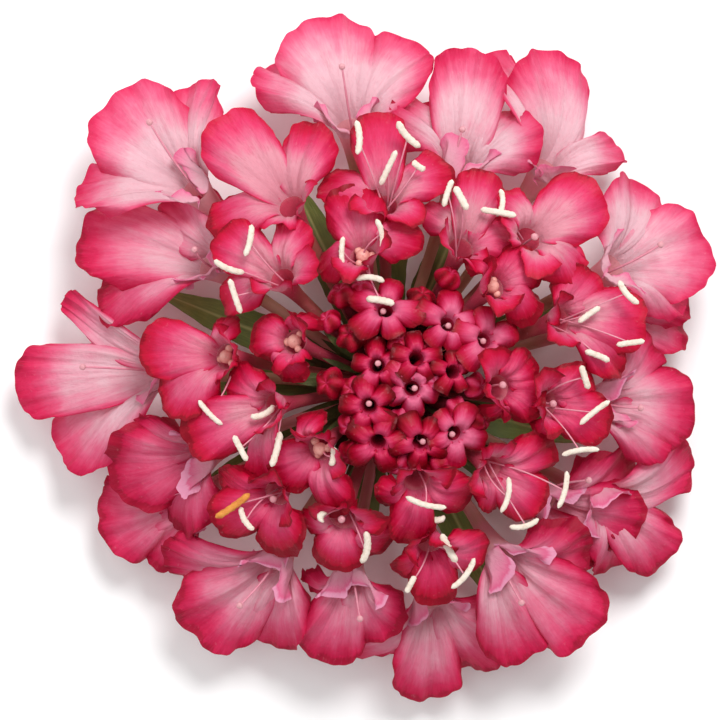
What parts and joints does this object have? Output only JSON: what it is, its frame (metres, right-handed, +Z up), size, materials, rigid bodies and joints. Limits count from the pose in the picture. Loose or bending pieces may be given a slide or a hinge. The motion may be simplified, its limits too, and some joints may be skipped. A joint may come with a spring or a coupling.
{
  "type": "scabiosa flower head",
  "caption": "Pink scabious flower head, cut under its bracts: wide pale florets outside, deep pink ones within, and crimson stars with cream anthers in the middle.",
  "frame": {"origin": "middle of the flat cut under the stalk, on the head's axis", "axes": "+Z up along the head's axis, away from the cut; +Y towards the top of the head as seen from straight above; +X to its right"},
  "size_m": [0.063, 0.0626, 0.0189],
  "materials": {
    "green": "satin",
    "pale_petal": "satin",
    "deep_petal": "satin"
  },
  "bodies": {
    "root": {"stalk_and_bracts": "green", "outer_florets": "pale_petal", "inner_florets": "deep_petal"}
  },
  "joints": []
}
